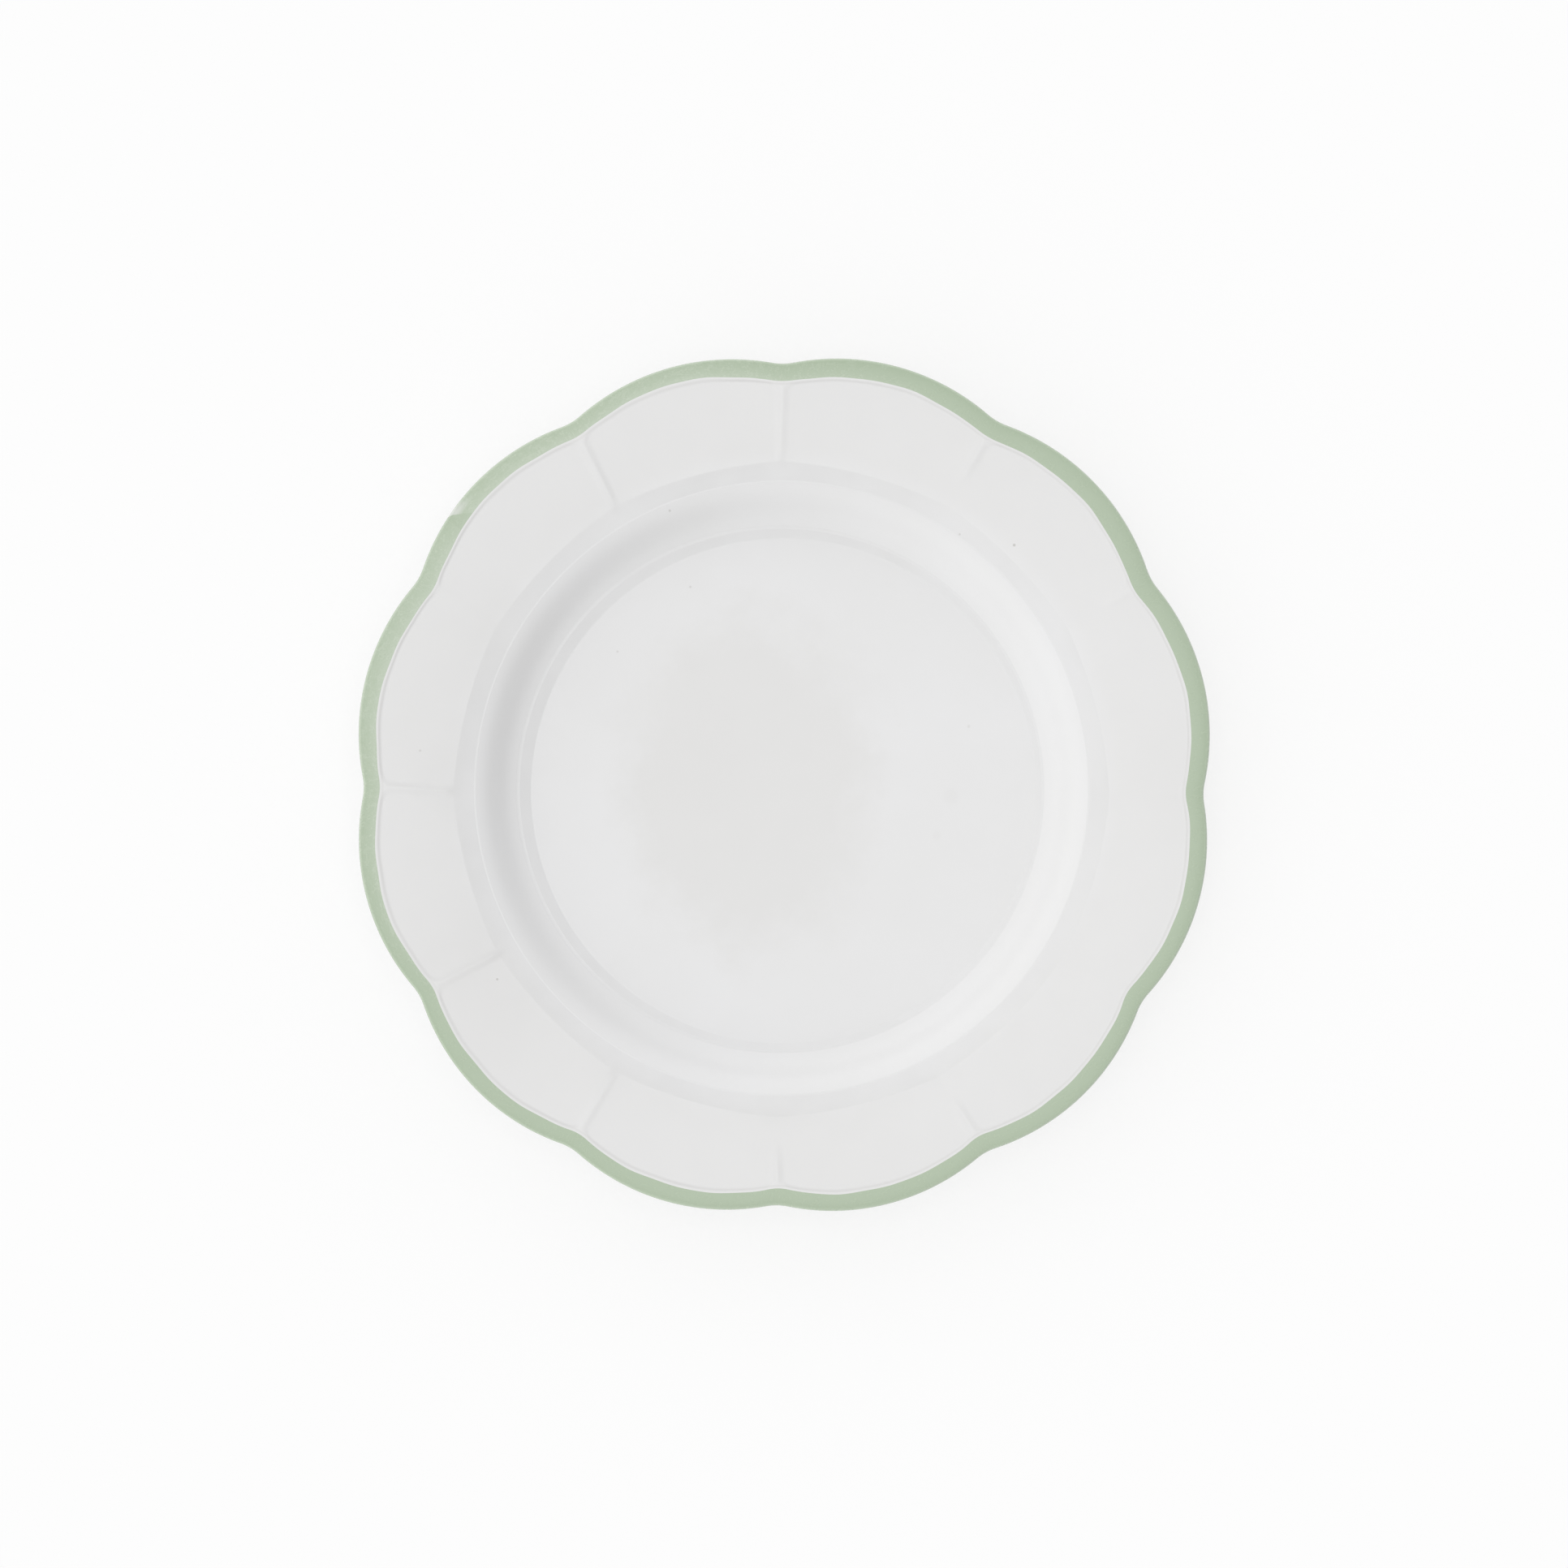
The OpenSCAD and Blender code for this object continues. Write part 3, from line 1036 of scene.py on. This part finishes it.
@dataclass
class Coats:
    """The coats of glaze and colour on the clay."""

    form: PlateForm
    spokes: int = 600
    base_spokes: int = 180
    base_rings: int = 8
    crease: float = 50.0
    brush_map: str = "brush"
    brush_start: float = 139.0
    thin_inside: float = 0.6

    def thickened(self, coat: Object) -> Object:
        """Gives a coat its thickness, inwards from its outside, and shades it smooth.

        Args:
            coat: The open coat.

        Returns:
            The same coat.
        """
        wall = coat.modifiers.new("coat", "SOLIDIFY")
        wall.thickness = self.form.glaze_t * MM
        wall.offset = -1.0
        wall.use_even_offset = True
        wall.use_quality_normals = True
        bpy.context.view_layer.objects.active = coat
        bpy.ops.object.modifier_apply(modifier=wall.name)
        smooth(coat, self.crease)
        return coat

    def face(self) -> None:
        """Builds and dresses the white coat on the face."""
        coat = Lathe(self.spokes).turn("white_face_glaze", self.form.face_section(), Facing.UP)
        turned = points_of(coat)
        rings = coat.data.attributes.new(RING_NOTE, "FLOAT", "POINT")
        rings.data.foreach_set("value", np.hypot(turned[:, 0], turned[:, 1]))
        set_points(coat, self.form.press(turned))
        finish = FaceGlaze("white_face_glaze", thin_at=self.form.band_r - self.thin_inside)
        Piece("face_glaze", "white_glaze").fit(self.thickened(coat), finish.material())

    def back(self) -> None:
        """Builds and dresses the white coat on the back."""
        coat = Lathe(self.spokes).turn("white_back_glaze", self.form.back_section(), Facing.DOWN)
        set_points(coat, self.form.press(points_of(coat)))
        finish = WhiteGlaze("white_back_glaze", speck_share=0.9)
        Piece("back_glaze", "back_white_glaze").fit(self.thickened(coat), finish.material())

    def base(self) -> None:
        """Builds and dresses the disc of glaze inside the foot ring."""
        edge, under = self.form.base_r, self.form.base_z
        flat_in, bend_in, wipe_in, wipe_up = 2.0, 1.2, 0.1, 0.3
        section = [(r, under) for r in np.linspace(0.0, edge - flat_in, self.base_rings)]
        section += rounded([(edge - bend_in, under), (edge - wipe_in, under), (edge, under + wipe_up)])
        coat = Lathe(self.base_spokes).turn("white_base_glaze", section, Facing.DOWN)
        finish = WhiteGlaze("white_base_glaze", speck_share=0.88)
        Piece("base_glaze", "base_white_glaze").fit(self.thickened(coat), finish.material())

    def band(self) -> None:
        """Builds and dresses the green colour over the lip."""
        section = self.form.lip_section()
        coat = Lathe(self.spokes).turn("green_edge_band", section, Facing.OUT)
        turned = points_of(coat)
        self.lay_strokes(coat, turned, section)
        set_points(coat, self.form.press(turned))
        finish = BrushedGreen("green_edge_colour", self.brush_map, TURN * self.form.lip_r)
        Piece("edge_band", "green_glaze").fit(self.thickened(coat), finish.material())

    def lay_strokes(self, coat: Object, turned: Floats, section: Section) -> None:
        """Gives the band a map along and across the brush's path, in millimetres.

        Args:
            coat: The open band.
            turned: Its points before they are pressed.
            section: The section that it was turned from.
        """
        stations = np.array(section)
        steps = np.hypot(*np.diff(stations, axis=0).T)
        across_at = np.concatenate(([0.0], np.cumsum(steps)))
        radius = np.hypot(turned[:, 0], turned[:, 1])
        gaps = np.hypot(radius[:, None] - stations[:, 0], turned[:, 2:3] - stations[:, 1])
        across = across_at[gaps.argmin(axis=1)]
        turn = (np.arctan2(turned[:, 1], turned[:, 0]) - math.radians(self.brush_start)) % TURN
        layer = coat.data.uv_layers.new(name=self.brush_map)
        corners = np.empty(len(coat.data.loops), dtype=np.int32)
        coat.data.loops.foreach_get("vertex_index", corners)
        along = turn[corners].reshape(-1, 4)
        wraps = along.max(axis=1, keepdims=True) - along.min(axis=1, keepdims=True) > math.pi
        along = np.where(wraps & (along < math.pi), along + TURN, along) * self.form.lip_r
        layer.data.foreach_set("uv", np.column_stack((along.ravel(), across[corners])).ravel())


@dataclass
class ClayBody:
    """The pressed clay under the glaze and the ring that it stands on."""

    form: PlateForm
    spokes: int = 360
    foot_spokes: int = 240
    foot_w: float = 4.0
    tread_round: float = 0.9
    crease: float = 40.0

    def biscuit(self) -> None:
        """Builds and dresses the clay body, one coat's thickness inside the glaze."""
        form = self.form
        skin = form.face_section()[::2] + form.lip_section()[1:-1] + form.back_section()[:-3:2]
        skin += [(form.foot_r, form.base_z), (0.0, form.base_z)]
        clay = Lathe(self.spokes).turn("clay_body", skin, Facing.OUT)
        set_points(clay, form.press(points_of(clay)))
        bpy.ops.object.mode_set(mode="EDIT")
        bpy.ops.mesh.select_all(action="SELECT")
        bpy.ops.transform.shrink_fatten(value=-form.glaze_t * MM)
        bpy.ops.object.mode_set(mode="OBJECT")
        smooth(clay, self.crease)
        finish = BareClay("fired_clay", light=(0.62, 0.50, 0.37, 1.0), dark=(0.50, 0.39, 0.28, 1.0))
        Piece("biscuit_body", "biscuit").fit(clay, finish.material())

    def foot_ring(self) -> None:
        """Builds and dresses the foot ring."""
        outer, top = self.form.foot_r, self.form.foot_h
        inner = outer - self.foot_w
        edge = self.tread_round
        section = rounded([(inner, top), (inner, edge), (inner, 0.0), (inner + edge, 0.0)])
        section += rounded([(outer - edge, 0.0), (outer, 0.0), (outer, edge), (outer, top)])
        section += [(inner, top)]
        ring = Lathe(self.foot_spokes).turn("turned_foot_ring", section, Facing.OUT)
        smooth(ring, self.crease)
        finish = BareClay("turned_clay", light=(0.60, 0.49, 0.37, 1.0), dark=(0.47, 0.37, 0.27, 1.0))
        Piece("foot_ring", "foot_clay").fit(ring, finish.material())


@dataclass(frozen=True)
class RoomGlow:
    """How bright the room is by direction: all round, upwards, to the front and back, and to the left."""

    level: float
    upwards: float
    front_back: float
    left: float
    least: float = 0.02

    def strength(self, graph: NodeGraph, way: list[Socket]) -> Socket:
        """The strength of the room's light.

        Args:
            graph: The world's nodes.
            way: How far a direction points right, to the back and up.

        Returns:
            The strength in that direction.
        """
        x, y, z = way
        up = graph.math("MULTIPLY_ADD", z, self.upwards, self.level)
        across = graph.math("MULTIPLY_ADD", graph.math("MULTIPLY", y, y), self.front_back, up)
        return graph.math("MAXIMUM", graph.math("MULTIPLY_ADD", x, -self.left, across), self.least)


@dataclass
class Studio:
    """The pale floor, the soft lights and the camera, in metres and degrees."""

    plate_w: float
    plate_h: float
    aim_y: float = -0.00018
    frame_share: float = 170.0 / 307.9
    distance: float = 1.5
    elevation: float = 88.0
    sensor: float = 36.0
    light: RoomGlow = RoomGlow(0.764, -0.2, 0.7, 0.38)
    shine: RoomGlow = RoomGlow(0.98, 0.284, 0.3, 0.563)
    room_turn: float = 13.0
    overhead_dim: Pair = (0.897, 0.84)
    lamp_z: float = 2.0
    lamp_w: float = 1.2
    lamp_power: float = 6.9
    floor_w: float = 8.0
    floor_tone: Colour = (0.97, 0.97, 0.97, 1.0)
    floor_glow: float = 0.75

    @property
    def aim(self) -> Vector:
        """The place that the camera and the lamp look at."""
        return Vector((0.0, self.aim_y, self.plate_h))

    def build(self) -> None:
        """Sets up the whole studio."""
        self.floor()
        self.world()
        self.lamp()
        self.camera()

    def floor(self) -> None:
        """Lays the pale floor that keeps the plate's shadow."""
        bpy.ops.object.select_all(action="DESELECT")
        bpy.ops.mesh.primitive_plane_add(size=self.floor_w, location=(0.0, 0.0, 0.0))
        floor = bpy.context.active_object
        floor.name = "studio_floor"
        graph = FinishGraph("studio_floor")
        material = graph.finished(Base_Color=self.floor_tone, Roughness=1.0, Specular_IOR_Level=0.0)
        glow = graph.add("ShaderNodeEmission", {"Color": WHITE, "Strength": 1.0})
        path = graph.add("ShaderNodeLightPath", {})
        seen = graph.math("MAXIMUM", path.outputs["Is Camera Ray"], path.outputs["Is Glossy Ray"])
        share = graph.math("MULTIPLY", seen, self.floor_glow)
        surface = graph.mixed(share, graph.shader.outputs["BSDF"], glow.outputs["Emission"])
        graph.feed(graph.tree.nodes["Material Output"].inputs["Surface"], surface)
        floor.data.materials.append(material)

    def world(self) -> None:
        """Fills the room with soft light, white where it is seen."""
        world = bpy.data.worlds.new("studio_room")
        bpy.context.scene.world = world
        world.use_nodes = True
        graph = NodeGraph(world.node_tree)
        graph.tree.nodes.clear()
        path = graph.add("ShaderNodeLightPath", {}).outputs
        light, shine = (self.background(graph, strength) for strength in self.room_light(graph))
        lit = graph.mixed(path["Is Glossy Ray"], light, shine)
        room = graph.mixed(path["Is Camera Ray"], lit, self.background(graph, 1.0))
        graph.add("ShaderNodeOutputWorld", {"Surface": room})

    def background(self, graph: NodeGraph, strength: Feed) -> Socket:
        """A white background of a given strength."""
        inputs = {"Color": WHITE, "Strength": strength}
        return graph.add("ShaderNodeBackground", inputs).outputs["Background"]

    def room_light(self, graph: NodeGraph) -> tuple[Socket, Socket]:
        """How bright the room is by direction, more to the left, the front and the back.

        Args:
            graph: The world's nodes.

        Returns:
            Strength of its light, and of its reflection in gloss, which is dark round the lamp overhead.
        """
        ways = graph.add("ShaderNodeTexCoord", {}).outputs["Generated"]
        turn = (0.0, 0.0, math.radians(self.room_turn))
        turned = graph.add("ShaderNodeMapping", {"Vector": ways, "Rotation": turn}).outputs["Vector"]
        way = graph.split(turned)
        dimming = graph.ranged(way[2], *self.overhead_dim)
        shine = graph.math("MULTIPLY", self.shine.strength(graph, way), dimming)
        return self.light.strength(graph, way), shine

    def lamp(self) -> None:
        """Hangs the square soft light over the plate."""
        place = Vector((0.0, 0.0, self.lamp_z))
        turn = (self.aim - place).to_track_quat("-Z", "Y").to_euler()
        bpy.ops.object.select_all(action="DESELECT")
        bpy.ops.object.light_add(type="AREA", location=place, rotation=turn)
        lamp = bpy.context.active_object
        lamp.name = "overhead"
        lamp.data.size = self.lamp_w
        lamp.data.energy = self.lamp_power

    def camera(self) -> None:
        """Sets the camera above the plate, a little towards its front."""
        lift = math.radians(self.elevation)
        place = self.aim + Vector((0.0, -math.cos(lift), math.sin(lift))) * self.distance
        bpy.ops.object.select_all(action="DESELECT")
        bpy.ops.object.camera_add(location=place, rotation=(math.pi / 2 - lift, 0.0, 0.0))
        camera = bpy.context.active_object
        camera.name = "studio_camera"
        camera.data.sensor_width = self.sensor
        camera.data.lens = self.sensor * self.distance * self.frame_share / self.plate_w
        bpy.context.scene.camera = camera


def main() -> None:
    """Builds the plate piece by piece and sets the studio round it."""
    logging.basicConfig(level=logging.INFO, format="%(message)s")
    bpy.context.scene.view_settings.view_transform = "Standard"
    form = PlateForm.from_frame()
    coats = Coats(form)
    clay = ClayBody(form)
    clay.biscuit()
    clay.foot_ring()
    coats.face()
    coats.back()
    coats.base()
    coats.band()
    Studio(plate_w=2 * form.lip_r * MM, plate_h=form.lip_z * MM).build()


if __name__ == "__main__":
    main()
